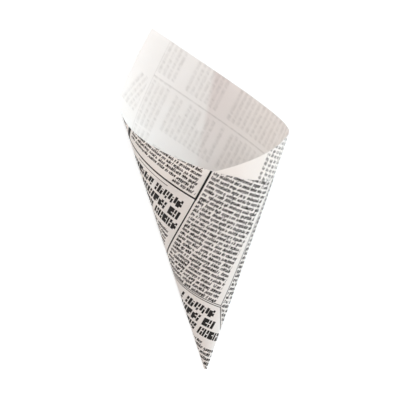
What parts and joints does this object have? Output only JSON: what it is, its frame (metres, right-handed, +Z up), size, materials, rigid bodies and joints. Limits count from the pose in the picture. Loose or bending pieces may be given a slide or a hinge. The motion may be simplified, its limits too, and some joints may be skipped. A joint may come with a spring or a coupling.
{
  "type": "paper fry cone",
  "caption": "Cone-shaped paper bag for fries, rolled from a flat sheet of greaseproof paper with an all-over newsprint pattern, slanted open mouth, lying on its back.",
  "frame": {"origin": "centre of the object's box, on the surface that it lies on", "axes": "+Z up; +Y along the cone as it lies, from the tip towards the mouth; +X to the right seen from above with the mouth away from the viewer"},
  "size_m": [0.1194, 0.2476, 0.0541],
  "materials": {
    "greaseproof_paper": "matt off-white greaseproof paper, black greeked newsprint on the outside that shows faintly through inside"
  },
  "bodies": {
    "root": {"paper_cone": "greaseproof_paper"}
  },
  "joints": []
}
